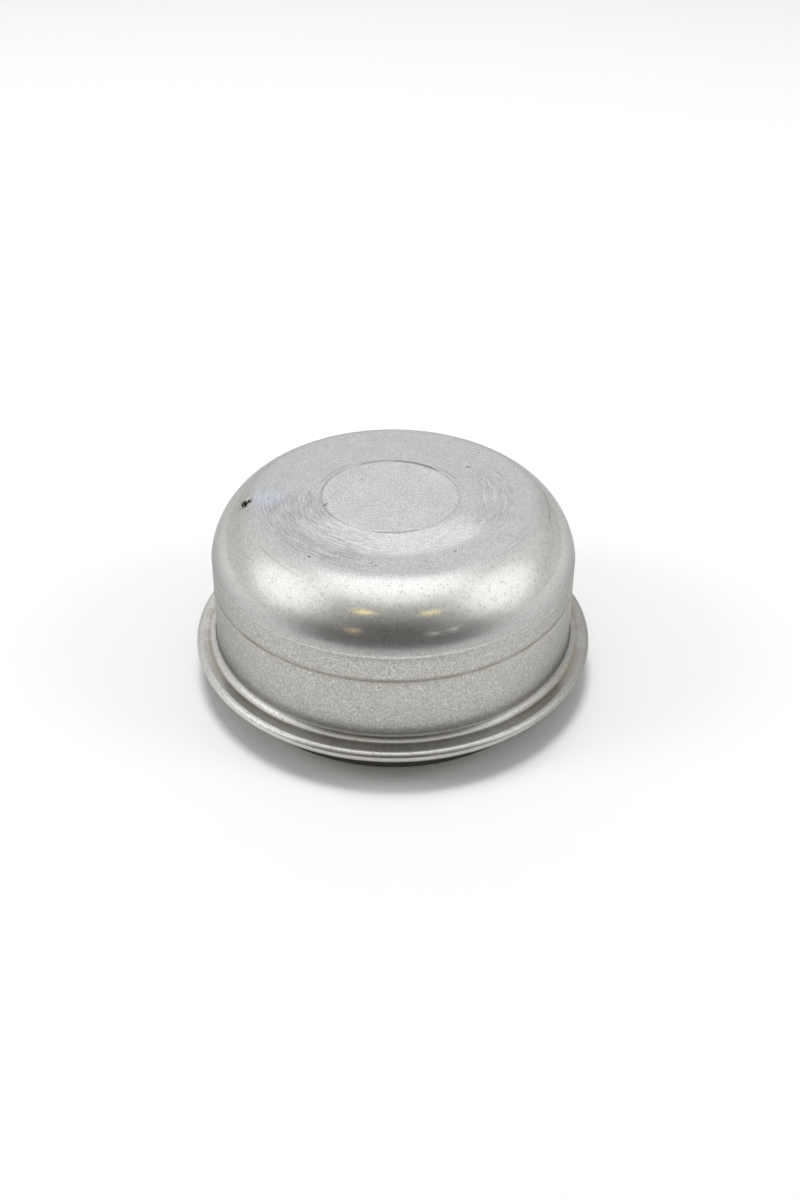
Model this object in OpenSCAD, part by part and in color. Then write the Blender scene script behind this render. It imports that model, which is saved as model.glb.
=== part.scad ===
// Dust cap for a wheel hub: one deep-drawn cup of sheet steel with a domed end.
// Part of the way down, the sheet is folded out and back on itself into a flat double flange.
// Below the flange the same sheet goes on as the skirt that is driven into the hub.
// Millimetres. The origin is on the axis, level with the skirt's lower edge, and +Z points to the crown.

/* [Sheet] */
// Thickness of the steel sheet
sheet = 0.85; // [0.8:0.05:1]

/* [Skirt] */
// Outer radius of the skirt, the size that is driven into the hub
skirt_r = 25.15; // [24.9:0.05:25.3]
// Height of the flange's underside above the skirt's lower edge
skirt_h = 4.7; // [3:0.1:8]
// Outer radius of the bend between the skirt and the flange
skirt_bend = 0.6; // [0.4:0.1:0.6]
// Height of the chamfer that leads the skirt into the hub
lead_in_h = 0.5; // [0.2:0.1:1]
// Depth of that chamfer
lead_in_d = 0.25; // [0.1:0.05:0.5]

/* [Flange] */
// Radius over the folded flange
flange_r = 29.4; // [29:0.1:31]
// Radius of the hollow corner between the wall and the flange
wall_bend = 1.05; // [0.8:0.05:1.2]
// Gap at which the two layers of the fold are taken as pressed together
fold_gap = 0.1; // [0.05:0.01:0.2]

/* [Wall] */
// Outer radius of the wall at the line scribed round it
wall_r = 26.15; // [26:0.05:26.3]
// How much wider the wall is at its lower end, above the flange
wall_flare = 0.2; // [0:0.05:0.3]
// How much narrower the wall is at the foot of the shoulder
wall_draft = 0.08; // [0:0.01:0.15]
// Height of the foot of the shoulder
foot_z = 20.3; // [18:0.1:24]
// Height of the line scribed round the wall
scribe_z = 16.35; // [10:0.05:17]
// Width of that line
scribe_w = 0.4; // [0.3:0.1:1]
// Depth of that line
scribe_d = 0.05; // [0.05:0.01:0.2]
// Width of the fine line that a tool left under the foot of the shoulder
foot_line_w = 0.4; // [0.2:0.1:0.6]
// Depth of that line
foot_line_d = 0.04; // [0.02:0.01:0.08]

/* [Crown] */
// Radius of the shoulder, seen in section
shoulder_r = 10.75; // [9.5:0.05:12]
// Slope of the shoulder at its foot, in degrees from upright
foot_slope = 9.8; // [4:0.1:14]
// Where the shoulder ends, as the tilt of its surface in degrees from upright
shoulder_end = 61; // [50:1:70]
// Radius of the tighter bend between the shoulder and the crown
knuckle_r = 4.5; // [3:0.1:7]
// Slope at the edge of the crown, in degrees
crown_slope = 3; // [2:0.5:5]
// Radius of the flat disc pressed into the crown
disc_r = 9.63; // [8:0.01:12]
// How far below the top of the crown's curve that disc lies
disc_drop = 0.17; // [0.15:0.01:0.3]
// How far the disc is off centre to the left
disc_left = 0.49; // [0:0.01:0.8]
// How far the disc is off centre to the front
disc_front = 0.43; // [0:0.01:0.8]

/* [Damage] */
// Depth of the chipped nick on the left of the shoulder
nick_d = 0.22; // [0.1:0.01:0.35]
// Radius of the blunt point that struck it
nick_r = 0.9; // [0.6:0.1:1.5]

/* [Hidden] */
$fn = 180;
fold_z = skirt_h + sheet; // where the two layers of the flange meet
flange_top = skirt_h + 2 * sheet;
foot = [wall_r - wall_draft, foot_z];
skirt_corner = [skirt_r + skirt_bend, skirt_h - skirt_bend];
wall_corner = [wall_r + wall_flare + wall_bend, flange_top + wall_bend];
nose = [flange_r - sheet, fold_z];
// The centres of the three arcs that make the domed end, each one tangent to the next
shoulder = foot - shoulder_r * ray(foot_slope);
knuckle = shoulder + (shoulder_r - knuckle_r) * ray(shoulder_end);
crown_angle = 90 - crown_slope;
crown_r = (knuckle.x + knuckle_r * cos(crown_angle)) / cos(crown_angle);
crown = knuckle + (knuckle_r - crown_r) * ray(crown_angle);
crown_z = crown.y + crown_r;
disc_at = [-disc_left, -disc_front, crown_z - disc_drop];
clear = 1; // how far a cutting shape runs past what it cuts
// The nick's two strikes: the way round the axis and the tilt of the surface, in degrees
nick_strikes = [[185.2, 59.5], [182.6, 62.5]];

// The unit vector at an angle above the radius, in the section plane
function ray(angle) = [cos(angle), sin(angle)];

// Points along an arc in the section plane, from one angle to the other
function arc(centre, radius, from, to, steps) =
    [for (i = [0 : steps]) centre + radius * ray(from + (to - from) * i / steps)];

// Points along a shallow round-bottomed line cut into a wall, from its lower edge to its upper
function line_cut(radius, z, width, depth) =
    let (tool = (pow(width / 2, 2) + pow(depth, 2)) / (2 * depth), half = asin(width / 2 / tool))
    arc([radius + tool - depth, z], tool, 180 + half, 180 - half, 4);

// The domed end from the foot of the shoulder to the axis, the given depth in from the outside
function dome(depth) = concat(
    arc(shoulder, shoulder_r - depth, foot_slope, shoulder_end, 16),
    arc(knuckle, knuckle_r - depth, shoulder_end, crown_angle, 6),
    arc(crown, crown_r - depth, crown_angle, 90, 3)
);

// The same points in the other order
function backwards(points) = [for (i = [len(points) - 1 : -1 : 0]) points[i]];

// The sheet's outer face in section, from the skirt's lower edge to the middle of the crown
function outer_face() = concat(
    [[skirt_r - lead_in_d, 0], [skirt_r, lead_in_h]],
    arc(skirt_corner, skirt_bend, 180, 90, 8),
    arc(nose, sheet, -90, 90, 16),
    arc(wall_corner, wall_bend, 270, 180, 8),
    line_cut(wall_r, scribe_z, scribe_w, scribe_d),
    line_cut(foot.x, foot_z - foot_line_w, foot_line_w, foot_line_d),
    dome(0)
);

// The inner face, from the middle of the crown back down. The fold leaves a groove in it
// that closes to where the flange's two layers are pressed together.
function inner_face() =
    let (fold_bend = wall_bend + sheet, fold_end = 180 + asin(1 - fold_gap / fold_bend))
    concat(
        backwards(dome(sheet)),
        [[wall_r - sheet, scribe_z]],
        arc(wall_corner, fold_bend, 180, fold_end, 8),
        [[wall_corner.x + fold_bend * cos(fold_end), fold_z]],
        arc(skirt_corner, skirt_bend + sheet, 90, 180, 8),
        [[skirt_r - sheet, 0]]
    );

// The drawn and folded cup, before the disc is pressed into its crown
module cup() {
    rotate_extrude() polygon(concat(outer_face(), inner_face()));
}

// The spot that two blunt strikes chipped out of the shoulder
module nick() {
    for (strike = nick_strikes) {
        at = shoulder + (shoulder_r + nick_r - nick_d) * ray(strike[1]);
        rotate([0, 0, strike[0]]) translate([at.x, 0, at.y]) sphere(nick_r);
    }
}

module dust_cap() {
    color([0.78, 0.79, 0.78]) difference() {
        union() {
            cup();
            // The pressed disc pushes the crown's inner face down as well
            translate(disc_at - [0, 0, sheet]) cylinder(sheet / 2, r = disc_r);
        }
        translate(disc_at) cylinder(clear, r = disc_r);
        nick();
    }
}

dust_cap();
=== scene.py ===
import math

import bpy
import mathutils
import numpy as np
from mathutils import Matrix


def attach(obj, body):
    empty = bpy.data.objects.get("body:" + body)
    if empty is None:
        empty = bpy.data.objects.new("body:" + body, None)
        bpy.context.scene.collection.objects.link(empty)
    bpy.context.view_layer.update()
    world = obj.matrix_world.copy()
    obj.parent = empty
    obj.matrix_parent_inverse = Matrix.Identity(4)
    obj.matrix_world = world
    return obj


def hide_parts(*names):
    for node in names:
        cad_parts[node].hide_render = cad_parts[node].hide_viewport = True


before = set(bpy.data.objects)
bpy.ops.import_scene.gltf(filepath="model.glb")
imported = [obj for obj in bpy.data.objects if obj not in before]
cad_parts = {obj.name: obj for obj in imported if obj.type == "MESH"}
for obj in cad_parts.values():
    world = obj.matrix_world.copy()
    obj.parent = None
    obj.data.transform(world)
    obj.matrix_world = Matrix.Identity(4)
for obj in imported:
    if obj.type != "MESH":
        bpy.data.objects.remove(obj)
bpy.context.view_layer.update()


# The dust cap: one blank of sheet steel, deep-drawn into a cup with a domed end, folded out and
# back into a double flange and turned down into the skirt that is driven into the hub. The
# section of the sheet is drawn here once, in millimetres, and turned about the cap's axis.
SHEET = 0.85
SKIRT_R = 25.15
SKIRT_H = 4.7
SKIRT_BEND = 0.6
LEAD_IN_H = 0.5
LEAD_IN_D = 0.25
FLANGE_R = 29.4
WALL_BEND = 1.05
FOLD_GAP = 0.1
WALL_R = 26.15
WALL_FLARE = 0.2
WALL_DRAFT = 0.08
FOOT_Z = 20.3
SCRIBE_Z = 16.35
SCRIBE_W = 0.4
SCRIBE_D = 0.05
FOOT_LINE_W = 0.4
FOOT_LINE_D = 0.04
SHOULDER_R = 10.75
FOOT_SLOPE = 9.8
SHOULDER_END = 61
KNUCKLE_R = 4.5
CROWN_SLOPE = 3
DISC_R = 9.63
DISC_DROP = 0.17
DISC_AT = np.array([-0.49, -0.43])
EDGE_SOFT = 0.06         # rounding left on the sheet's cut edge
STEPS_ROUND = 432


def ray(angle):
    """The unit vector at an angle above the radius, in the section plane."""
    return np.array([math.cos(math.radians(angle)), math.sin(math.radians(angle))])


def arc(centre, radius, start, end, steps):
    """Points along an arc in the section plane."""
    return [centre + radius * ray(start + (end - start) * i / steps) for i in range(steps + 1)]


def straight(start, end, steps):
    """Points between two ends of a straight run, without the ends."""
    start, end = np.array(start, float), np.array(end, float)
    return [start + (end - start) * i / steps for i in range(1, steps)]


def cut_corner(before, corner, after):
    """The three points of a cut edge whose burr has worn off."""
    corner = np.array(corner, float)
    out = [np.array(p, float) - corner for p in (before, after)]
    out = [EDGE_SOFT * v / np.linalg.norm(v) for v in out]
    return [corner + out[0], corner + 0.3 * (out[0] + out[1]), corner + out[1]]


def pressed_line(radius, z, width, depth, steps):
    """A shallow round-bottomed line pressed into the wall, from its lower edge to its upper."""
    tool = ((width / 2) ** 2 + depth ** 2) / (2 * depth)
    half = math.degrees(math.asin(width / 2 / tool))
    return arc(np.array([radius + tool - depth, z]), tool, 180 + half, 180 - half, steps)


fold_z = SKIRT_H + SHEET
flange_top = SKIRT_H + 2 * SHEET
foot = np.array([WALL_R - WALL_DRAFT, FOOT_Z])
skirt_corner = np.array([SKIRT_R + SKIRT_BEND, SKIRT_H - SKIRT_BEND])
wall_corner = np.array([WALL_R + WALL_FLARE + WALL_BEND, flange_top + WALL_BEND])
wall_foot = np.array([WALL_R + WALL_FLARE, wall_corner[1]])
nose = np.array([FLANGE_R - SHEET, fold_z])
shoulder = foot - SHOULDER_R * ray(FOOT_SLOPE)
knuckle = shoulder + (SHOULDER_R - KNUCKLE_R) * ray(SHOULDER_END)
crown_angle = 90 - CROWN_SLOPE
crown_r = (knuckle[0] + KNUCKLE_R * ray(crown_angle)[0]) / ray(crown_angle)[0]
crown = knuckle + (KNUCKLE_R - crown_r) * ray(crown_angle)
crown_z = crown[1] + crown_r
disc_z = crown_z - DISC_DROP
NICK_BAND = (52, 66)     # tilts of the shoulder between which the section is drawn finer


def crown_rings(depth, radii):
    """Section points on the crown at those radii, the given depth in from the outside."""
    return [np.array([r, crown[1] + math.sqrt((crown_r - depth) ** 2 - r ** 2)]) for r in radii]


lead_in = [(SKIRT_R - LEAD_IN_D, 0), (SKIRT_R, LEAD_IN_H)]
knuckle_edge = knuckle[0] + KNUCKLE_R * ray(crown_angle)[0]
crown_radii = list(np.linspace(knuckle_edge, DISC_R + 0.4, 12)[1:])
for outwards in (0.22, 0.15, 0.11, 0.08, 0.05, 0.025, 0, -0.025, -0.05, -0.08, -0.11, -0.2):
    crown_radii.append(DISC_R + outwards)
crown_radii += [8.6, 6.5, 4.0, 1.5, 0]
outer_face = (
    cut_corner((SKIRT_R - SHEET, 0), lead_in[0], lead_in[1])
    + cut_corner(lead_in[0], lead_in[1], (SKIRT_R, SKIRT_H))
    + straight((SKIRT_R, 0.8), (SKIRT_R, 4.0), 4)
    + arc(skirt_corner, SKIRT_BEND, 180, 90, 7)
    + straight((skirt_corner[0], SKIRT_H), (nose[0], SKIRT_H), 4)
    + arc(nose, SHEET, -90, 90, 20)
    + straight((nose[0], flange_top), (wall_corner[0], flange_top), 3)
    + arc(wall_corner, WALL_BEND, 270, 180, 12)
    + straight(wall_foot, (WALL_R, SCRIBE_Z - SCRIBE_W / 2), 7)
    + pressed_line(WALL_R, SCRIBE_Z, SCRIBE_W, SCRIBE_D, 8)
    + straight((WALL_R, SCRIBE_Z + SCRIBE_W / 2), (foot[0], FOOT_Z - 1.5 * FOOT_LINE_W), 4)
    + pressed_line(foot[0], FOOT_Z - FOOT_LINE_W, FOOT_LINE_W, FOOT_LINE_D, 6)
    + arc(shoulder, SHOULDER_R, FOOT_SLOPE, NICK_BAND[0], 22)
    + arc(shoulder, SHOULDER_R, NICK_BAND[0], SHOULDER_END, 12)[1:]
    + arc(knuckle, KNUCKLE_R, SHOULDER_END, NICK_BAND[1], 4)[1:]
    + arc(knuckle, KNUCKLE_R, NICK_BAND[1], crown_angle, 9)[1:]
    + crown_rings(0, crown_radii)
)
fold_bend = WALL_BEND + SHEET
fold_end = 180 + math.degrees(math.asin(1 - FOLD_GAP / fold_bend))
groove_end = (wall_corner[0] + fold_bend * ray(fold_end)[0], fold_z)
inner_radii = [0, 3, 6, 8.6] + [DISC_R + d for d in (-0.3, -0.1, 0.1, 0.3)] + [12, 15, knuckle_edge]
inner_face = (
    crown_rings(SHEET, inner_radii[:-1])
    + arc(knuckle, KNUCKLE_R - SHEET, crown_angle, SHOULDER_END, 7)
    + arc(shoulder, SHOULDER_R - SHEET, SHOULDER_END, FOOT_SLOPE, 14)[1:]
    + [np.array([WALL_R - SHEET, SCRIBE_Z])]
    + straight((WALL_R - SHEET, SCRIBE_Z), wall_foot - (SHEET, 0), 3)
    + arc(wall_corner, fold_bend, 180, fold_end, 8)
    + [np.array(groove_end)]
    + arc(skirt_corner, SKIRT_BEND + SHEET, 90, 180, 7)
    + straight((SKIRT_R - SHEET, 4.0), (SKIRT_R - SHEET, 0.3), 3)
    + cut_corner((SKIRT_R - SHEET, SKIRT_H), (SKIRT_R - SHEET, 0), (SKIRT_R, 0))
)
section = np.array(outer_face + inner_face + outer_face[:1])
section_along = np.r_[0, np.cumsum(np.linalg.norm(np.diff(section, axis=0), axis=1))]
outer_length = float(section_along[len(outer_face) - 1])

# The section line, as a mesh of points that carry how far along the sheet they are
section_mesh = bpy.data.meshes.new("cap_section")
section_mesh.from_pydata([(r / 1000, 0, z / 1000) for r, z in section], [], [])
section_mesh.attributes.new("along", "FLOAT", "POINT").data.foreach_set("value", section_along)
section_object = bpy.data.objects.new("cap_section", section_mesh)
bpy.context.scene.collection.objects.link(section_object)


def add(tree, kind, links=None, **settings):
    """Adds a node to a tree, with its settings and with what goes into its sockets."""
    node = tree.nodes.new(kind)
    for name, value in settings.items():
        setattr(node, name, value)
    for key, value in (links or {}).items():
        if isinstance(value, bpy.types.Node):
            value = next(out for out in value.outputs if out.enabled)
        if isinstance(value, bpy.types.NodeSocket):
            tree.links.new(value, node.inputs[key])
        else:
            node.inputs[key].default_value = value
    return node


# The tree that turns the section: a grid of rounds by section points, each put at its angle.
# The rounds lie closer together at the side where the nick is.
steel = bpy.data.materials.new("zinc_plated_drawn_steel")
turning = bpy.data.node_groups.new("turn_section", "GeometryNodeTree")
turning.interface.new_socket("Section", in_out="INPUT", socket_type="NodeSocketGeometry")
steps_input = turning.interface.new_socket("Steps round", in_out="INPUT", socket_type="NodeSocketInt")
gather_input = turning.interface.new_socket("Gather", in_out="INPUT", socket_type="NodeSocketFloat")
side_input = turning.interface.new_socket("Gather at", in_out="INPUT", socket_type="NodeSocketFloat")
finish_input = turning.interface.new_socket("Finish", in_out="INPUT", socket_type="NodeSocketMaterial")
turning.interface.new_socket("Shell", in_out="OUTPUT", socket_type="NodeSocketGeometry")
given = add(turning, "NodeGroupInput").outputs
points = add(turning, "GeometryNodeAttributeDomainSize", {0: given["Section"]}).outputs["Point Count"]
rounds = add(turning, "ShaderNodeMath", {0: given["Steps round"], 1: 1.0}, operation="ADD")
grid = add(turning, "GeometryNodeMeshGrid", {"Vertices X": rounds, "Vertices Y": points})
index = add(turning, "GeometryNodeInputIndex")
which = add(turning, "ShaderNodeMath", {0: index, 1: points}, operation="MODULO")
share = add(turning, "ShaderNodeMath", {0: index, 1: points}, operation="DIVIDE")
step = add(turning, "ShaderNodeMath", {0: share}, operation="FLOOR")
turn = add(turning, "ShaderNodeMath", {0: step, 1: given["Steps round"]}, operation="DIVIDE")
even = add(turning, "ShaderNodeMath", {0: turn, 1: math.tau}, operation="MULTIPLY")
apart = add(turning, "ShaderNodeMath", {0: even, 1: given["Gather at"]}, operation="SUBTRACT")
swing = add(turning, "ShaderNodeMath", {0: apart}, operation="SINE")
pull = add(turning, "ShaderNodeMath", {0: swing, 1: given["Gather"]}, operation="MULTIPLY")
angle = add(turning, "ShaderNodeMath", {0: even, 1: pull}, operation="SUBTRACT")
spot = add(
    turning, "GeometryNodeSampleIndex",
    {0: given["Section"], "Value": add(turning, "GeometryNodeInputPosition"), "Index": which},
    data_type="FLOAT_VECTOR",
)
named = add(turning, "GeometryNodeInputNamedAttribute", {"Name": "along"}, data_type="FLOAT")
along = add(
    turning, "GeometryNodeSampleIndex",
    {0: given["Section"], "Value": named.outputs["Attribute"], "Index": which}, data_type="FLOAT",
)
put = add(
    turning, "ShaderNodeVectorRotate", {"Vector": spot, "Axis": (0, 0, 1), "Angle": angle},
    rotation_type="AXIS_ANGLE",
)
placed = add(turning, "GeometryNodeSetPosition", {0: grid.outputs["Mesh"], "Position": put})
kept = add(
    turning, "GeometryNodeStoreNamedAttribute", {0: placed, "Name": "along", "Value": along},
    data_type="FLOAT", domain="POINT",
)
closed = add(turning, "GeometryNodeMergeByDistance", {0: kept, "Distance": 1e-6})
smooth = add(turning, "GeometryNodeSetShadeSmooth", {0: closed})
realized = add(turning, "GeometryNodeRealizeInstances", {0: smooth})
finished = add(turning, "GeometryNodeSetMaterial", {0: realized, "Material": given["Finish"]})
add(turning, "NodeGroupOutput", {0: finished})

NICK_SIDE = 184          # degrees round the axis
GATHER = 0.45            # how far the rounds are drawn together there, 0 for evenly spread
turner = section_object.modifiers.new("turn_section", "NODES")
turner.node_group = turning
turner[steps_input.identifier] = STEPS_ROUND
turner[gather_input.identifier] = GATHER
turner[side_input.identifier] = math.radians(NICK_SIDE)
turner[finish_input.identifier] = steel
evaluated = section_object.evaluated_get(bpy.context.evaluated_depsgraph_get())
shell_mesh = bpy.data.meshes.new_from_object(evaluated)
shell_mesh.name = "dust_cap_shell"
section_object.modifiers.remove(turner)
bpy.data.objects.remove(section_object)
shell = bpy.data.objects.new("dust_cap_shell", shell_mesh)
bpy.context.scene.collection.objects.link(shell)

co = np.zeros(len(shell_mesh.vertices) * 3)
shell_mesh.vertices.foreach_get("co", co)
co = co.reshape(-1, 3) * 1000
way = np.zeros(len(shell_mesh.vertices))
shell_mesh.attributes["along"].data.foreach_get("value", way)
outside = way <= outer_length + 1e-3

# The disc pressed into the crown is a little off centre, so the crown's rings slide over with it.
# A sharp-edged punch left a fine groove round it, and its floor is flat.
RINGS_STILL = 15.0       # radius from which the crown's rings stay centred
GROOVE_D = 0.03
GROOVE_HALF = 0.11
ring = np.hypot(co[:, 0], co[:, 1])
on_crown = (co[:, 2] > disc_z - 2 * SHEET) & (ring < RINGS_STILL)
slide = np.clip((RINGS_STILL - ring) / (RINGS_STILL - DISC_R - 0.4), 0, 1)
slide = slide * slide * (3 - 2 * slide)
co[on_crown, :2] += slide[on_crown, None] * DISC_AT
ring_now = np.hypot(co[:, 0], co[:, 1])
curve = np.where(outside, crown_r, crown_r - SHEET)
on_curve = crown[1] + np.sqrt(np.maximum(curve ** 2 - ring_now ** 2, 0))
disc_floor = np.where(outside, disc_z, disc_z - SHEET)
edge = np.clip((DISC_R + 0.05 - ring) / 0.1, 0, 1)
edge = edge * edge * (3 - 2 * edge)
groove = GROOVE_D * np.maximum(0, 1 - ((ring - DISC_R) / GROOVE_HALF) ** 2) * outside
z_new = on_curve + (np.minimum(disc_floor, on_curve) - on_curve) * edge - groove
co[on_crown, 2] = z_new[on_crown]

# The nick: two blunt strikes chipped the shoulder on the left and left rough floors
NICK_R = 0.9
NICK_D = 0.22
NICK_RAGGED = 0.35       # how much the floors' depth varies
rng = np.random.default_rng(7)
for side, tilt in [(185.2, 59.5), (182.6, 62.5)]:
    a = math.radians(side)
    struck = ray(tilt)
    out = np.array([struck[0] * math.cos(a), struck[0] * math.sin(a), struck[1]])
    centre_rz = shoulder + (SHOULDER_R + NICK_R - NICK_D) * struck
    centre = np.array([centre_rz[0] * math.cos(a), centre_rz[0] * math.sin(a), centre_rz[1]])
    off = co - centre
    near = outside & (np.linalg.norm(off, axis=1) < NICK_R)
    # Each point inside the blunt tip's ball goes straight in to the ball's surface
    along_out = off[near] @ out
    short_of_it = NICK_R ** 2 - (off[near] ** 2).sum(1)
    sink = along_out + np.sqrt(along_out ** 2 + short_of_it)
    ragged = 1 + NICK_RAGGED * rng.uniform(-1, 1, near.sum())
    co[near] -= (sink * ragged)[:, None] * out
shell_mesh.vertices.foreach_set("co", (co / 1000).ravel())
shell_mesh.update()


def linear(code):
    """An sRGB hex colour as the linear colour that a shader takes."""
    parts = [int(code[i:i + 2], 16) / 255 for i in (1, 3, 5)]
    return [c / 12.92 if c <= 0.04045 else ((c + 0.055) / 1.055) ** 2.4 for c in parts] + [1]


# Zinc-plated drawn steel. The crown kept the sheet's satin with fine rub marks round it. The
# die ironed the shoulder bright, and left the wall with a fine matte grain like orange peel.
# Brown grime lies in the line round the wall and in the corner of the flange.
steel.use_nodes = True
look = steel.node_tree
look.nodes.clear()
place = add(
    look, "ShaderNodeVectorMath",
    {0: add(look, "ShaderNodeTexCoord").outputs["Object"], "Scale": 1000}, operation="SCALE",
)
flat_place = add(look, "ShaderNodeVectorMath", {0: place, 1: (1, 1, 0)}, operation="MULTIPLY")
radius = add(look, "ShaderNodeVectorMath", {0: flat_place}, operation="LENGTH").outputs["Value"]
around = add(look, "ShaderNodeVectorMath", {0: flat_place}, operation="NORMALIZE")
height = add(look, "ShaderNodeSeparateXYZ", {0: place}).outputs["Z"]
sheet_way = add(look, "ShaderNodeAttribute", attribute_name="along").outputs["Fac"]
in_disc = add(
    look, "ShaderNodeVectorMath", {0: flat_place, 1: (DISC_AT[0], DISC_AT[1], 0)},
    operation="DISTANCE",
).outputs["Value"]

# Grain 0.2 mm across, a finer one of 0.11 mm, and clouds of 4 mm where the finish varies. The real
# grain is finer still, and is drawn as coarse as it needs to be to show.
grain = add(
    look, "ShaderNodeTexNoise",
    {"Vector": place, "Scale": 1 / 0.2, "Detail": 2.0, "Roughness": 0.6},
)
fine = add(look, "ShaderNodeTexNoise", {"Vector": place, "Scale": 1 / 0.11, "Detail": 1.0})
cloud = add(
    look, "ShaderNodeTexNoise",
    {"Vector": place, "Scale": 1 / 4.0, "Detail": 3.0, "Roughness": 0.6},
)

# Rub marks round the crown: streaks from 0.07 mm wide, each about 10 degrees long
by_radius = add(look, "ShaderNodeMath", {0: radius, 1: 1 / 0.07}, operation="MULTIPLY")
outward_part = add(look, "ShaderNodeCombineXYZ", {"Z": by_radius})
streak_place = add(
    look, "ShaderNodeVectorMath", {0: around, 1: (6.5, 6.5, 0), 2: outward_part},
    operation="MULTIPLY_ADD",
)
streaks = add(look, "ShaderNodeTexNoise", {"Vector": streak_place, "Scale": 1.0, "Detail": 2.0})

# Pits in the plating, an eighth of a millimetre across, most of them in clusters
pits = add(look, "ShaderNodeTexVoronoi", {"Vector": place, "Scale": 1 / 0.42})
pit_lot = add(look, "ShaderNodeSeparateXYZ", {0: pits.outputs["Color"]}).outputs["X"]

# The nick's chips: ragged spots round its middle, with bright metal between them
nick_rz = shoulder + SHOULDER_R * ray(61)
nick_side = math.radians(NICK_SIDE)
nick_point = (nick_rz[0] * math.cos(nick_side), nick_rz[0] * math.sin(nick_side), nick_rz[1])
nick_off = add(
    look, "ShaderNodeVectorMath", {0: place, 1: nick_point}, operation="DISTANCE",
).outputs["Value"]
chips = add(
    look, "ShaderNodeTexNoise",
    {"Vector": place, "Scale": 1 / 0.36, "Detail": 2.0, "Roughness": 0.7},
)
chip_level = add(
    look, "ShaderNodeMath", {0: nick_off, 1: -0.32, 2: chips}, operation="MULTIPLY_ADD",
)
# Beside it, on the crown, something pale rubbed off on the plating
smear = add(
    look, "ShaderNodeVectorMath", {0: place, 1: (-17.6, -1.0, 28.2)}, operation="DISTANCE",
).outputs["Value"]

# Where things lie. First what begins at one value and is complete at another
where = {}
for name, value, start, end in [
    ("inside", sheet_way, outer_length + 0.01, outer_length + 0.1),
    ("outer face", sheet_way, outer_length + 0.1, outer_length + 0.01),
    ("crown", radius, 21.8, 18.6),
    ("off the crown", radius, 18.0, 22.0),
    ("top", height, 28.0, 28.4),
    ("above the foot", height, 24.0, 25.0),
    ("low shoulder", height, FOOT_Z + 4.6, FOOT_Z),
    ("wall", height, FOOT_Z + 0.7, FOOT_Z - 0.3),
    ("flange", height, flange_top + 1.0, flange_top + 0.4),
    ("above the flange", height, flange_top + 0.6, flange_top + 1.4),
    ("corner height", height, flange_top + 0.9, flange_top + 0.2),
    ("skirt", height, SKIRT_H + 0.15, SKIRT_H - 0.15),
    ("disc", in_disc, DISC_R + 0.2, DISC_R - 0.1),
    ("patches", cloud, 0.35, 0.62),
    ("dots", grain, 0.53, 0.66),
    ("broken", fine, 0.36, 0.56),
    ("smear", smear, 3.2, 0.8),
    ("few pits", pit_lot, 0.6, 0.64),
    ("fewer pits", pit_lot, 0.82, 0.86),
    ("pit", pits.outputs["Distance"], 0.19, 0.09),
    ("chips", chip_level, 0.2, 0.28),
]:
    where[name] = add(
        look, "ShaderNodeMapRange", {"Value": value, "From Min": start, "From Max": end},
        interpolation_type="SMOOTHSTEP",
    )
# Then bands: the middle, the half width, and how far the edge fades
for name, value, middle, half, soft in [
    ("front band", radius, 12.6, 1.6, 1.8),
    ("left rubs", radius, 15.0, 3.0, 2.5),
    ("right rubs", radius, 14.5, 1.2, 2.0),
    ("scribed line", height, SCRIBE_Z, 0.11, 0.24),
    ("bend", radius, 26.9, 0.35, 0.4),
    ("flange corner", radius, 27.5, 0.1, 0.28),
    ("flange middle", radius, 27.8, 0.2, 0.7),
    ("flat of the flange", radius, 28.05, 0.45, 0.3),
    ("foot line", height, FOOT_Z - 0.12, 0.05, 0.12),
    ("foot of the wall", height, flange_top + 1.3, 0.3, 0.9),
    ("disc edge", in_disc, DISC_R, 0.03, 0.1),
    ("disc edge, wide", in_disc, DISC_R + 0.06, 0.09, 0.2),
    ("second edge", in_disc, DISC_R + 0.75, 0.06, 0.2),
]:
    off = add(look, "ShaderNodeMath", {0: value, 1: middle}, operation="SUBTRACT")
    away = add(look, "ShaderNodeMath", {0: off}, operation="ABSOLUTE")
    where[name] = add(
        look, "ShaderNodeMapRange", {"Value": away, "From Min": half + soft, "From Max": half},
        interpolation_type="SMOOTHSTEP",
    )
# Then stretches of the way round: the side, half the stretch, and how far it fades, in degrees
for name, azimuth, half, soft in [
    ("front", -88, 28, 42),
    ("front left", -142, 26, 26),
    ("right", 0, 22, 20),
    ("left stain", 188, 18, 36),
    ("right stain", -6, 22, 36),
    ("right half, painted shade", 10, 50, 40),
    ("front corner, painted shade", -90, 8, 30),
    ("front half, painted shade", -88, 55, 35),
    ("disc, back right", 70, 14, 16),
    ("disc, back left", 109, 8, 9),
    ("disc, left", 190, 30, 30),
    ("disc, front", -88, 9, 14),
    ("second, left", 148, 10, 12),
    ("second, right", 38, 8, 10),
]:
    a = math.radians(azimuth)
    to_side = add(
        look, "ShaderNodeVectorMath", {0: around, 1: (math.cos(a), math.sin(a), 0)},
        operation="DOT_PRODUCT",
    ).outputs["Value"]
    where[name] = add(
        look, "ShaderNodeMapRange",
        {
            "Value": to_side,
            "From Min": math.cos(math.radians(half + soft)),
            "From Max": math.cos(math.radians(half)),
        },
        interpolation_type="SMOOTHSTEP",
    )

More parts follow.
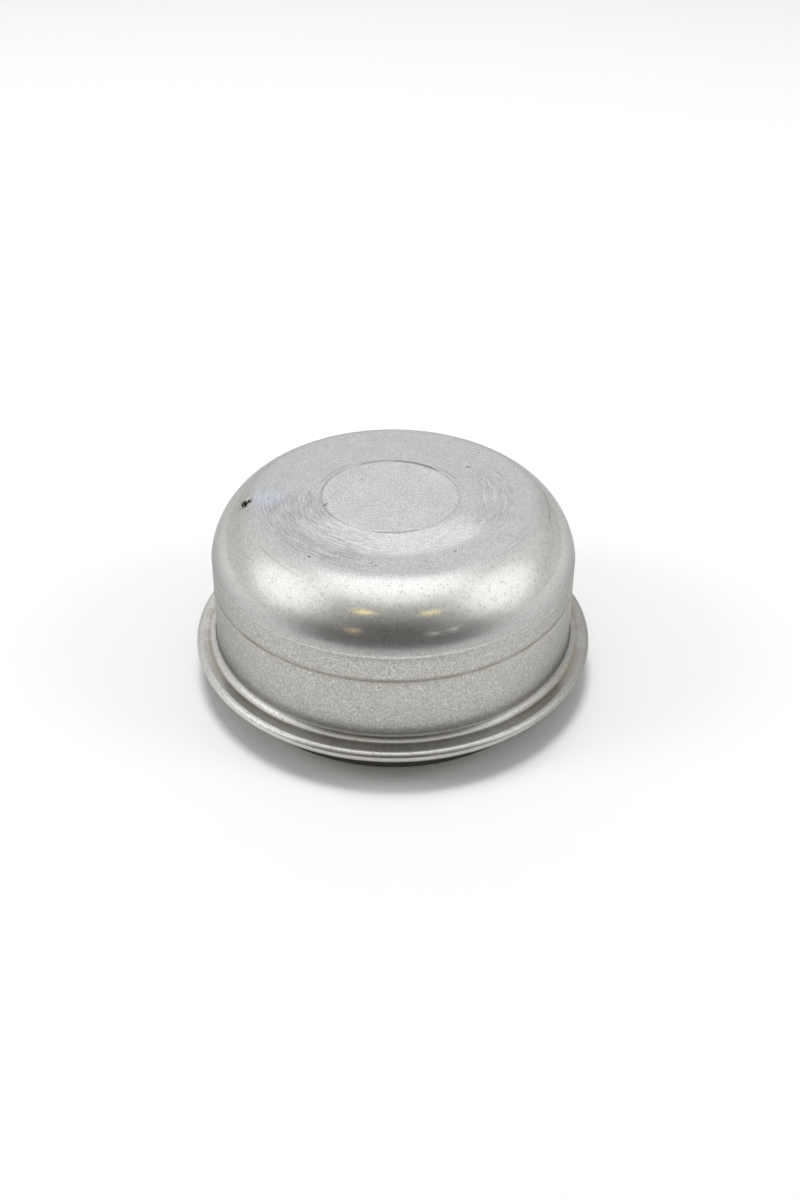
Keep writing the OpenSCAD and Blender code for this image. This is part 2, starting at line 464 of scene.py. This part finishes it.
# Single scratches: radius at the middle, drift, side and half length in degrees, half width
scratches = []
for middle, drift, azimuth, half, width, strength in [
    (21.78, -1.15, -1, 11, 0.07, 0.75),
    (21.95, -1.3, 2, 7, 0.05, 0.5),
    (21.47, 1.48, -136.5, 10.5, 0.06, 0.55),
    (20.17, 0.3, -40, 14, 0.06, 0.35),
    (19.6, 0.2, -33, 10, 0.05, 0.3),
    (14.9, 0.8, -128, 12, 0.07, 0.4),
    (13.7, 0.6, -140, 14, 0.08, 0.35),
    (16.2, 0.9, -133, 10, 0.06, 0.35),
]:
    number = len(scratches)
    a = math.radians(azimuth)
    along_it = add(
        look, "ShaderNodeVectorMath", {0: around, 1: (-math.sin(a), math.cos(a), 0)},
        operation="DOT_PRODUCT",
    ).outputs["Value"]
    to_side = add(
        look, "ShaderNodeVectorMath", {0: around, 1: (math.cos(a), math.sin(a), 0)},
        operation="DOT_PRODUCT",
    ).outputs["Value"]
    drifted = add(look, "ShaderNodeMath", {0: along_it, 1: -drift, 2: radius}, operation="MULTIPLY_ADD")
    off = add(look, "ShaderNodeMath", {0: drifted, 1: middle}, operation="SUBTRACT")
    away = add(look, "ShaderNodeMath", {0: off}, operation="ABSOLUTE")
    where[f"scratch {number}"] = add(
        look, "ShaderNodeMapRange", {"Value": away, "From Min": 2 * width, "From Max": width},
        interpolation_type="SMOOTHSTEP",
    )
    where[f"scratch stretch {number}"] = add(
        look, "ShaderNodeMapRange",
        {
            "Value": to_side,
            "From Min": math.cos(math.radians(half * 1.2)),
            "From Max": math.cos(math.radians(half * 0.7)),
        },
        interpolation_type="SMOOTHSTEP",
    )
    names = (f"scratch {number}", f"scratch stretch {number}", "above the foot", "broken")
    scratches.append(("#838386", 0.8 * strength, names))

# Single dark specks on the crown: radius, side in degrees, and size
specks = []
for r, azimuth, size in [
    (18.9, -125, 0.16), (17.6, -97, 0.13), (13.2, 36, 0.2), (17.5, 45, 0.13), (16.3, -60, 0.13),
    (17.5, -176, 0.12), (6.1, 139, 0.12), (10.0, -161, 0.2), (9.7, -163, 0.14), (17.2, -99, 0.12),
]:
    a = math.radians(azimuth)
    off = add(
        look, "ShaderNodeVectorMath", {0: flat_place, 1: (r * math.cos(a), r * math.sin(a), 0)},
        operation="DISTANCE",
    ).outputs["Value"]
    where[f"speck {len(specks)}"] = add(
        look, "ShaderNodeMapRange", {"Value": off, "From Min": size * 1.5, "From Max": size * 0.6},
        interpolation_type="SMOOTHSTEP",
    )
    specks.append(("#55504B", 0.8, (f"speck {len(specks)}", "top")))


def amount_of(strength, names):
    """How strongly a layer lies on the cap: its strength wherever all of its places meet."""
    amount = strength
    for name in names:
        amount = add(look, "ShaderNodeMath", {0: where[name], 1: amount}, operation="MULTIPLY")
    return amount


def painted(colour, layers):
    """Colours laid one over another, each with its strength and its places."""
    for code, strength, names in layers:
        colour = add(
            look, "ShaderNodeMix",
            {0: amount_of(strength, names), 6: colour, 7: linear(code)}, data_type="RGBA",
        )
    return colour


# The plating by zone, before the grime, with painted highlight and painted shade where noted
colour = painted(linear("#D8D8D4"), [
    ("#D8D8DA", 1.0, ("crown",)),
    ("#E1E1E3", 1.0, ("disc", "top")),
    # Painted highlight: a lighter band on the front of the crown
    ("#F6F6F7", 1.0, ("front band", "front", "top")),
    # Painted shade: the lower shoulder darker
    ("#BCBDBC", 1.0, ("low shoulder",)),
    ("#C8C7C2", 1.0, ("wall",)),
    ("#DAD9D6", 1.0, ("flange",)),
    # Painted shade: the right half of the flange darker
    ("#B0AFAB", 1.0, ("flange", "right half, painted shade")),
    # Painted shade: the flange darker at the front
    ("#ACABA8", 0.7, ("flange", "front corner, painted shade")),
    ("#A3A3A1", 0.7, ("flat of the flange", "flange", "front half, painted shade")),
    # Painted shade under the flange, with grease: the skirt dark
    ("#76746E", 1.0, ("skirt",)),
    ("#A6A5A0", 1.0, ("inside",)),
])

# The grain mottles it, most on the wall, and the rub marks streak the crown
for pattern, low, high, strength, names in [
    (grain, 0.74, 1.2, 1.0, ("crown",)),
    (grain, 0.85, 1.1, 1.0, ("off the crown",)),
    (fine, 0.88, 1.1, 1.0, ("off the crown",)),
    (grain, 0.7, 1.24, 1.0, ("wall", "above the flange")),
    (fine, 0.72, 1.22, 1.0, ("crown",)),
    (fine, 0.74, 1.2, 1.0, ("wall", "above the flange")),
    (cloud, 0.95, 1.05, 1.0, ("crown",)),
    (streaks, 0.86, 1.1, 0.6, ("crown", "outer face")),
    (streaks, 0.58, 1.24, 1.0, ("crown", "left rubs", "front left", "outer face")),
    (streaks, 0.8, 1.16, 1.0, ("crown", "front band", "front", "outer face")),
    (streaks, 0.72, 1.16, 1.0, ("crown", "right rubs", "right", "outer face")),
]:
    share = add(
        look, "ShaderNodeMapRange",
        {"Value": pattern, "From Min": 0.27, "From Max": 0.73, "To Min": low, "To Max": high},
    )
    scale = add(
        look, "ShaderNodeMix", {0: amount_of(strength, names), 2: 1.0, 3: share}, data_type="FLOAT",
    )
    colour = add(look, "ShaderNodeVectorMath", {0: colour, "Scale": scale}, operation="SCALE")

# Grime, wear and damage over it, the lines round the disc and along the foot, and painted shade at the
# front
colour = painted(colour, [
    ("#94897A", 0.2, ("scribed line", "outer face")),
    ("#8A7B68", 0.35, ("scribed line", "patches", "outer face")),
    ("#6E6152", 0.75, ("scribed line", "dots", "outer face")),
    ("#8F8B80", 0.3, ("flange corner", "corner height")),
    ("#877A64", 0.3, ("flange corner", "corner height", "patches")),
    # Painted shade: the flange's bend darker at the front
    ("#777570", 0.7, ("bend", "flange", "front corner, painted shade")),
    # Painted shade: the foot of the wall darker at the front
    ("#807F7C", 0.4, ("foot of the wall", "outer face", "front half, painted shade")),
    ("#A59A87", 0.4, ("flange middle", "corner height", "left stain", "patches")),
    ("#978B79", 0.4, ("flange middle", "corner height", "right stain", "patches")),
    ("#E4E4E0", 0.45, ("foot line", "outer face")),
    ("#DCE6F4", 0.4, ("smear", "top")),
    ("#8A8C8D", 0.3, ("disc edge", "top", "broken")),
    ("#727476", 0.5, ("disc edge", "top", "dots")),
    ("#727476", 0.75, ("disc edge, wide", "top", "disc, back right")),
    ("#6A6C6E", 0.55, ("disc edge, wide", "top", "disc, back left")),
    ("#6A6C6E", 0.2, ("disc edge, wide", "top", "disc, left")),
    ("#6A6C6E", 0.45, ("disc edge, wide", "top", "disc, front")),
    ("#7C7E80", 0.4, ("second edge", "top", "second, left", "broken")),
    ("#7C7E80", 0.5, ("second edge", "top", "second, right", "broken")),
    ("#5E5A54", 0.45, ("pit", "few pits", "off the crown")),
    ("#5E5A54", 0.75, ("pit", "few pits", "off the crown", "patches")),
    ("#5E5A54", 0.5, ("pit", "fewer pits", "crown")),
    ("#625E57", 0.5, ("dots", "few pits", "off the crown")),
    ("#7A6C57", 0.4, ("dots", "patches", "flange")),
    *scratches,
    *specks,
    ("#24221F", 1.0, ("chips",)),
])

# Roughness by zone, varied a little by the finest grain
rough = 0.17
for value, names in [
    (0.36, ("crown",)),
    (0.26, ("low shoulder",)),
    (0.42, ("wall",)),
    (0.22, ("flange",)),
    (0.5, ("skirt",)),
    (0.5, ("inside",)),
]:
    rough = add(
        look, "ShaderNodeMix", {0: amount_of(1.0, names), 2: rough, 3: value}, data_type="FLOAT",
    )
vary = add(
    look, "ShaderNodeMapRange",
    {"Value": fine, "From Min": 0.3, "From Max": 0.7, "To Min": 0.94, "To Max": 1.06},
)
rough = add(look, "ShaderNodeMath", {0: rough, 1: vary}, operation="MULTIPLY")

# Relief in millimetres: the grain, flatter on the crown and the flange, the rub marks, the pits
grain_depth = 0.0008
for value, names in [(0.002, ("crown",)), (0.007, ("wall",)), (0.0006, ("flange",))]:
    grain_depth = add(
        look, "ShaderNodeMix", {0: amount_of(1.0, names), 2: grain_depth, 3: value}, data_type="FLOAT",
    )
relief = add(look, "ShaderNodeMath", {0: grain, 1: grain_depth}, operation="MULTIPLY")
relief = add(
    look, "ShaderNodeMath", {0: streaks, 1: amount_of(0.004, ("crown", "outer face")), 2: relief},
    operation="MULTIPLY_ADD",
)
pit_depth = amount_of(0.008, ("pit", "few pits", "off the crown"))
relief = add(look, "ShaderNodeMath", {0: relief, 1: pit_depth}, operation="SUBTRACT")
bump = add(look, "ShaderNodeBump", {"Distance": 0.001, "Height": relief})
# Zinc takes up part of the light that meets it at a low angle, so the tint of its edges is grey
skin = add(
    look, "ShaderNodeBsdfPrincipled",
    {"Base Color": colour, "Metallic": 1.0, "Roughness": rough, "Normal": bump},
)
skin.inputs["Specular Tint"].default_value = linear("#C8C8C8")
add(look, "ShaderNodeOutputMaterial", {"Surface": skin})

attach(shell, "root")
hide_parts("dust_cap")


# The table: a white sweep that the cap stands on, of plain matt card, with the cap's shadow close
# round the flange.
TABLE_R = 2.0
TABLE_SIDES = 96
table_mesh = bpy.data.meshes.new("table")
rim = []
for i in range(TABLE_SIDES):
    a = math.tau * i / TABLE_SIDES
    rim.append((TABLE_R * math.cos(a), TABLE_R * math.sin(a), 0))
table_mesh.from_pydata(rim, [], [tuple(range(TABLE_SIDES))])
table = bpy.data.objects.new("table", table_mesh)
bpy.context.scene.collection.objects.link(table)
card = bpy.data.materials.new("pale_card")
card.use_nodes = True
card_tree = card.node_tree
card_tree.nodes.clear()
matt = add(card_tree, "ShaderNodeBsdfDiffuse", {"Color": linear("#F8F8F8")})
add(card_tree, "ShaderNodeOutputMaterial", {"Surface": matt})
table_mesh.materials.append(card)

# The lamps round the tent: the key lamp over it, a little behind the cap, and one on either side.
# The metal doesn't show them, because the cloth's bright patches that they make are in the tent.
for name, lamp_at, power in [
    ("key_lamp", (-0.06, 0.16, 1.24), 7.4),
    ("left_lamp", (-0.94, -0.16, 0.72), 2.0),
    ("right_lamp", (0.94, -0.16, 0.72), 1.6),
]:
    lamp_data = bpy.data.lights.new(name, "AREA")
    lamp_data.shape = "DISK"
    lamp_data.size = 0.4
    lamp_data.energy = power
    lamp = bpy.data.objects.new(name, lamp_data)
    bpy.context.scene.collection.objects.link(lamp)
    lamp.location = lamp_at
    lamp.rotation_euler = mathutils.Vector(lamp_at).to_track_quat("Z", "Y").to_euler()
    lamp.visible_glossy = False


# The light tent: white cloth all round, brightest overhead and where the two lamps shine on its
# sides. It lights everything, and it is also what the metal shows.
def toward(azimuth, elevation):
    """The direction at an azimuth from the camera's side, to the right, and an elevation."""
    a, e = math.radians(azimuth), math.radians(elevation)
    return (math.sin(a) * math.cos(e), -math.cos(a) * math.cos(e), math.sin(e))


tent = bpy.data.worlds.new("light_tent")
bpy.context.scene.world = tent
tent.use_nodes = True
cloth = tent.node_tree
cloth.nodes.clear()
direction = add(cloth, "ShaderNodeTexCoord").outputs["Generated"]
CLOTH = 0.68             # the cloth's brightness near the table
light = CLOTH
for azimuth, elevation, inner, outer, strength in [
    (0, 90, 50, 92, 0.2),         # the cloth, brighter towards the top
    (0, 84, 8, 38, 0.7),          # the soft light above
    (-77, 32, 4, 34, 0.56),       # the lamps that shine through the left and right sides
    (77, 32, 4, 34, 0.56),
    (180, 2, 10, 34, 0.3),        # the white backdrop behind the cap
]:
    toward_it = add(
        cloth, "ShaderNodeVectorMath", {0: direction, 1: toward(azimuth, elevation)},
        operation="DOT_PRODUCT",
    ).outputs["Value"]
    bright = add(
        cloth, "ShaderNodeMapRange",
        {
            "Value": toward_it,
            "From Min": math.cos(math.radians(outer)),
            "From Max": math.cos(math.radians(inner)),
            "To Max": strength,
        },
        interpolation_type="SMOOTHSTEP",
    )
    light = add(cloth, "ShaderNodeMath", {0: light, 1: bright}, operation="ADD")
# The white table lights the lowest part of the cloth
low_cloth = add(
    cloth, "ShaderNodeMapRange",
    {
        "Value": add(cloth, "ShaderNodeSeparateXYZ", {0: direction}).outputs["Z"],
        "From Min": 0.22,
        "From Max": 0.02,
        "To Max": 0.13,
    },
    interpolation_type="SMOOTHSTEP",
)
light = add(cloth, "ShaderNodeMath", {0: light, 1: low_cloth}, operation="ADD")
# The camera and the metal see the cloth this bright. Matt surfaces get less of it, and the rest
# from the lamps, so that together they light a white surface just up to white.
path = add(cloth, "ShaderNodeLightPath").outputs
seen = path["Is Camera Ray"]
for kind in ("Is Glossy Ray", "Is Transmission Ray"):
    seen = add(cloth, "ShaderNodeMath", {0: seen, 1: path[kind]}, operation="ADD")
no_matt_yet = add(
    cloth, "ShaderNodeMapRange",
    {"Value": path["Diffuse Depth"], "From Max": 1.0, "To Min": 1.0, "To Max": 0.0},
)
shown = add(cloth, "ShaderNodeMath", {0: seen, 1: no_matt_yet}, operation="MULTIPLY")
MATT_SHARE = 0.46
dimmed = add(
    cloth, "ShaderNodeMapRange",
    {"Value": shown, "From Max": 1.0, "To Min": MATT_SHARE, "To Max": 1.0},
)
light = add(cloth, "ShaderNodeMath", {0: light, 1: dimmed}, operation="MULTIPLY")
glow = add(cloth, "ShaderNodeBackground", {"Color": linear("#FFFFFF"), "Strength": light})
add(cloth, "ShaderNodeOutputWorld", {"Surface": glow})


# The tent's opening at the camera's side, behind the camera, and the dark table in front of the
# white card: dark, with soft edges and a few small lights in the room behind. The metal shows
# it. It is a curved screen with an apron on the table. The camera doesn't see it, and it casts
# no shadow.
OPENING_R = 0.5
APRON_FROM = 0.12        # where the white card ends, in front of the cap
APRON_Z = 0.001          # how high the apron lies above the card
COLUMNS = 65
opening_rows = [(OPENING_R, elevation) for elevation in range(78, 0, -3)]
for distance in (0.44, 0.36, 0.28, 0.2, 0.15, 0.1):
    opening_rows.append((distance, math.degrees(math.asin(APRON_Z / distance))))
opening_points = []
opening_faces = []
for distance, elevation in opening_rows:
    for i in range(COLUMNS):
        way_out = toward(-86 + 172 * i / (COLUMNS - 1), elevation)
        opening_points.append([distance * v for v in way_out])
for j in range(len(opening_rows) - 1):
    for i in range(COLUMNS - 1):
        k = j * COLUMNS + i
        opening_faces.append((k, k + 1, k + COLUMNS + 1, k + COLUMNS))
opening_mesh = bpy.data.meshes.new("tent_opening")
opening_mesh.from_pydata(opening_points, [], opening_faces)
opening = bpy.data.objects.new("tent_opening", opening_mesh)
bpy.context.scene.collection.objects.link(opening)
opening.visible_camera = False
opening.visible_shadow = False
room = bpy.data.materials.new("dark_room")
room.use_nodes = True
dark = room.node_tree
dark.nodes.clear()
spot_place = add(dark, "ShaderNodeTexCoord").outputs["Object"]
outward = add(dark, "ShaderNodeVectorMath", {0: spot_place}, operation="NORMALIZE")
sight = add(dark, "ShaderNodeSeparateXYZ", {0: outward}).outputs
how_far = add(dark, "ShaderNodeVectorMath", {0: spot_place}, operation="LENGTH").outputs["Value"]
back_y = add(dark, "ShaderNodeMath", {0: sight["Y"], 1: -1.0}, operation="MULTIPLY")
azimuth_now = add(dark, "ShaderNodeMath", {0: sight["X"], 1: back_y}, operation="ARCTAN2")
azimuth_away = add(dark, "ShaderNodeMath", {0: azimuth_now}, operation="ABSOLUTE")
edges = []
for value, start, end in [
    (azimuth_away, math.radians(74), math.radians(8.5)),      # the cloth's slack sides
    (azimuth_away, math.radians(78), math.radians(26)),       # and lower down, where it is wider
    (sight["Z"], 0.5, 0.22),
    (sight["Z"], 1.1, 0.34),                                  # the top
    (how_far, APRON_FROM, APRON_FROM + 0.06),                 # the white card
]:
    edges.append(add(
        dark, "ShaderNodeMapRange", {"Value": value, "From Min": start, "From Max": end},
        interpolation_type="SMOOTHSTEP",
    ))
lower = add(dark, "ShaderNodeMath", {0: edges[1], 1: edges[2]}, operation="MULTIPLY")
sides = add(dark, "ShaderNodeMath", {0: edges[0], 1: lower}, operation="MAXIMUM")
below_top = add(dark, "ShaderNodeMath", {0: sides, 1: edges[3]}, operation="MULTIPLY")
cover = add(dark, "ShaderNodeMath", {0: below_top, 1: edges[4]}, operation="MULTIPLY")
gap = add(dark, "ShaderNodeBsdfTransparent")
gloom = add(dark, "ShaderNodeEmission", {"Color": linear("#737271"), "Strength": 1.0})
# Lights in the room: azimuth, elevation, half width and half height in degrees, colour, strength
seen_at = add(dark, "ShaderNodeCombineXYZ", {"X": azimuth_now, "Y": sight["Z"]})
for azimuth, elevation, wide, high, code, strength in [
    (-20, 43, 10.0, 2.3, "#FFE888", 3.8),
    (26, 41, 10.0, 2.3, "#FFE888", 3.2),
    (-22, 17, 4.2, 1.6, "#FFD98C", 3.2),
    (23, 13, 2.2, 1.2, "#FFFFFF", 5.0),
    (35, 14, 2.0, 1.2, "#FFFFFF", 6.0),
]:
    middle = (math.radians(azimuth), math.sin(math.radians(elevation)), 0)
    high_now = math.radians(high) * math.cos(math.radians(elevation))
    off = add(dark, "ShaderNodeVectorMath", {0: seen_at, 1: middle}, operation="SUBTRACT")
    scaled = add(
        dark, "ShaderNodeVectorMath", {0: off, 1: (1 / math.radians(wide), 1 / high_now, 0)},
        operation="MULTIPLY",
    )
    size_off = add(dark, "ShaderNodeVectorMath", {0: scaled}, operation="LENGTH").outputs["Value"]
    shine = add(
        dark, "ShaderNodeMapRange",
        {"Value": size_off, "From Min": 1.0, "From Max": 0.3, "To Max": strength},
        interpolation_type="SMOOTHSTEP",
    )
    room_light = add(dark, "ShaderNodeEmission", {"Color": linear(code), "Strength": shine})
    gloom = add(dark, "ShaderNodeAddShader", {0: gloom, 1: room_light})
screen = add(dark, "ShaderNodeMixShader", {0: cover, 1: gap, 2: gloom})
add(dark, "ShaderNodeOutputMaterial", {"Surface": screen})
opening_mesh.materials.append(room)


# The camera, where the photograph's circles put it: in front, above and looking down
LOOKS_DOWN = 36.03       # degrees
ROLLED = 0.56            # degrees
camera_data = bpy.data.cameras.new("camera")
camera = bpy.data.objects.new("camera", camera_data)
bpy.context.scene.collection.objects.link(camera)
camera.location = (0.001009, -0.14430, 0.11526)
camera.rotation_mode = "XYZ"
camera.rotation_euler = (math.radians(90 - LOOKS_DOWN), 0, 0)
camera.rotation_euler.rotate_axis("Z", math.radians(ROLLED))
camera_data.sensor_fit = "VERTICAL"
camera_data.sensor_height = 36
camera_data.lens = 35.853
camera_data.clip_start = 0.005
bpy.context.scene.camera = camera
bpy.context.scene.view_settings.view_transform = "Standard"
